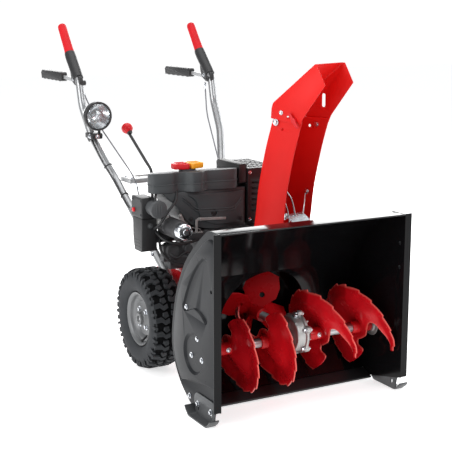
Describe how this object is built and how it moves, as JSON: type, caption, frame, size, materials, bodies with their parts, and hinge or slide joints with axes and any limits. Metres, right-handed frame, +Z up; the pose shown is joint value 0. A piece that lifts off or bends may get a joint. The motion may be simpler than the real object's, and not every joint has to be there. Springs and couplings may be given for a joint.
{
  "type": "two-stage snowblower",
  "caption": "Walk-behind two-stage snowblower with auger housing, turning discharge chute and tilting hood, engine, wheels, handlebars with clutch levers and a work lamp.",
  "frame": {"origin": "on the ground, under the middle of the machine's length and width", "axes": "+Z up, +Y from the auger mouth toward the operator, +X to the right as seen by someone standing in front of the mouth"},
  "size_m": [0.6806, 1.51, 1.0871],
  "materials": {
    "auger_bearing_left": "cast",
    "auger_bearing_right": "cast",
    "auger_housing": "gloss",
    "auger_left": "gloss",
    "auger_right": "gloss",
    "auger_shaft": "satin",
    "axle": "satin",
    "belt_cover": "matte",
    "carburettor_cover": "matte",
    "chassis_frame": "gloss",
    "chute": "gloss",
    "chute_crank": "satin",
    "chute_hood": "gloss",
    "chute_ring": "matte",
    "clutch_cable_left": "matte",
    "clutch_cable_right": "matte",
    "clutch_lever_left": "satin",
    "clutch_lever_right": "satin",
    "control_panel": "satin",
    "drive_belt": "matte",
    "engine_block": "cast",
    "engine_pulley": "cast",
    "engine_shroud": "matte",
    "fuel_cap": "gloss",
    "fuel_cap_grip": "gloss",
    "fuel_tank": "matte",
    "gearbox_case": "cast",
    "grip_left": "matte",
    "grip_right": "matte",
    "handle_tube_left": "satin",
    "handle_tube_right": "satin",
    "headlight_bezel": "matte",
    "headlight_bracket": "satin",
    "headlight_lead": "matte",
    "headlight_lens": "clear",
    "headlight_shell": "satin",
    "impeller": "gloss",
    "impeller_drum": "gloss",
    "impeller_shaft": "satin",
    "lever_bracket_left": "matte",
    "lever_bracket_right": "matte",
    "muffler_guard": "matte",
    "recoil_grip": "matte",
    "recoil_starter": "matte",
    "rim_left": "satin",
    "rim_right": "satin",
    "scraper_bar": "satin",
    "shift_knob": "gloss",
    "shift_lever": "black oxide",
    "side_plate_left": "satin",
    "side_plate_right": "satin",
    "skid_shoe_left": "satin",
    "skid_shoe_right": "satin",
    "socket_cap": "matte",
    "start_button": "gloss",
    "starter_motor": "satin",
    "switch_box": "matte",
    "tyre_left": "matte",
    "tyre_right": "matte",
    "worm_bracket": "satin"
  },
  "bodies": {
    "machine": {"auger_bearing_left": "auger_bearing_left", "auger_bearing_right": "auger_bearing_right", "auger_housing": "auger_housing", "belt_cover": "belt_cover", "carburettor_cover": "carburettor_cover", "chassis_frame": "chassis_frame", "clutch_cable_left": "clutch_cable_left", "clutch_cable_right": "clutch_cable_right", "control_panel": "control_panel", "drive_belt": "drive_belt", "engine_block": "engine_block", "engine_shroud": "engine_shroud", "fuel_tank": "fuel_tank", "gearbox_case": "gearbox_case", "grip_left": "grip_left", "grip_right": "grip_right", "handle_tube_left": "handle_tube_left", "handle_tube_right": "handle_tube_right", "headlight_bracket": "headlight_bracket", "headlight_lead": "headlight_lead", "impeller_drum": "impeller_drum", "lever_bracket_left": "lever_bracket_left", "lever_bracket_right": "lever_bracket_right", "muffler_guard": "muffler_guard", "recoil_starter": "recoil_starter", "scraper_bar": "scraper_bar", "side_plate_left": "side_plate_left", "side_plate_right": "side_plate_right", "skid_shoe_left": "skid_shoe_left", "skid_shoe_right": "skid_shoe_right", "socket_cap": "socket_cap", "starter_motor": "starter_motor", "switch_box": "switch_box", "worm_bracket": "worm_bracket"},
    "wheels": {"axle": "axle", "rim_left": "rim_left", "rim_right": "rim_right", "tyre_left": "tyre_left", "tyre_right": "tyre_right"},
    "auger": {"auger_shaft": "auger_shaft", "auger_left": "auger_left", "auger_right": "auger_right"},
    "impeller": {"impeller_shaft": "impeller_shaft", "impeller": "impeller"},
    "engine_pulley": {"engine_pulley": "engine_pulley"},
    "chute": {"chute_ring": "chute_ring", "chute": "chute"},
    "hood": {"chute_hood": "chute_hood"},
    "chute_crank": {"chute_crank": "chute_crank"},
    "clutch_lever_left": {"clutch_lever_left": "clutch_lever_left"},
    "clutch_lever_right": {"clutch_lever_right": "clutch_lever_right"},
    "shift_lever": {"shift_lever": "shift_lever", "shift_knob": "shift_knob"},
    "headlight": {"headlight_shell": "headlight_shell", "headlight_bezel": "headlight_bezel", "headlight_lens": "headlight_lens"},
    "start_button": {"start_button": "start_button"},
    "recoil_grip": {"recoil_grip": "recoil_grip"},
    "fuel_cap": {"fuel_cap": "fuel_cap", "fuel_cap_grip": "fuel_cap_grip"}
  },
  "joints": [
    {"name": "wheel_roll", "type": "hinge", "parent": "machine", "child": "wheels", "pos_m": [0, -0.158, 0.163], "axis": [1, 0, 0], "continuous": true},
    {"name": "impeller_spin", "type": "hinge", "parent": "machine", "child": "impeller", "pos_m": [0, -0.405, 0.21], "axis": [0, 1, 0], "continuous": true},
    {"name": "auger_spin", "type": "hinge", "parent": "machine", "child": "auger", "pos_m": [0, -0.602, 0.177], "axis": [1, 0, 0], "continuous": true},
    {"name": "engine_pulley_spin", "type": "hinge", "parent": "machine", "child": "engine_pulley", "pos_m": [0, -0.293, 0.41], "axis": [0, 1, 0], "continuous": true},
    {"name": "chute_turn", "type": "hinge", "parent": "machine", "child": "chute", "pos_m": [0.095, -0.407, 0.462], "axis": [0, 0, 1], "range_deg": [-112, 68]},
    {"name": "hood_tilt", "type": "hinge", "parent": "chute", "child": "hood", "pos_m": [0.10634, -0.43478, 0.807], "axis": [0.9259, 0.3778, 0], "range_deg": [-10, 35]},
    {"name": "chute_crank_turn", "type": "hinge", "parent": "machine", "child": "chute_crank", "pos_m": [0.1915, -0.425, 0.454], "axis": [-0.0331, 0.9922, 0.12], "range_deg": [-336, 204]},
    {"name": "clutch_left_squeeze", "type": "hinge", "parent": "machine", "child": "clutch_lever_left", "pos_m": [-0.26, 0.417, 0.893], "axis": [1, 0, 0], "range_deg": [0, 30], "stiffness_Nm_per_rad": 1, "springref_deg": -34.38},
    {"name": "clutch_right_squeeze", "type": "hinge", "parent": "machine", "child": "clutch_lever_right", "pos_m": [0.26, 0.417, 0.893], "axis": [1, 0, 0], "range_deg": [0, 30], "stiffness_Nm_per_rad": 1, "springref_deg": -34.38},
    {"name": "shift_swing", "type": "hinge", "parent": "machine", "child": "shift_lever", "pos_m": [-0.082, 0.169, 0.48], "axis": [0, 1, 0], "range_deg": [-20, 23]},
    {"name": "headlight_tilt", "type": "hinge", "parent": "machine", "child": "headlight", "pos_m": [-0.254, 0.257, 0.7185], "axis": [1, 0, 0], "range_deg": [-20, 20]},
    {"name": "start_press", "type": "slide", "parent": "machine", "child": "start_button", "axis": [1, 0, 0], "range_m": [0, 0.003], "stiffness_N_per_m": 300, "springref_m": -0.002},
    {"name": "recoil_pull", "type": "slide", "parent": "machine", "child": "recoil_grip", "axis": [0, 1, 0], "range_m": [0, 0.45], "stiffness_N_per_m": 30, "springref_m": -0.05},
    {"name": "fuel_cap_turn", "type": "hinge", "parent": "machine", "child": "fuel_cap", "pos_m": [-0.143, -0.227, 0.65], "axis": [0, 0, 1], "range_deg": [0, 90]}
  ],
  "couplings": [
    {"joint": "auger_spin", "follows": "impeller_spin", "ratio": -0.1},
    {"joint": "engine_pulley_spin", "follows": "impeller_spin", "ratio": 1.8235},
    {"joint": "chute_crank_turn", "follows": "chute_turn", "ratio": 3}
  ]
}
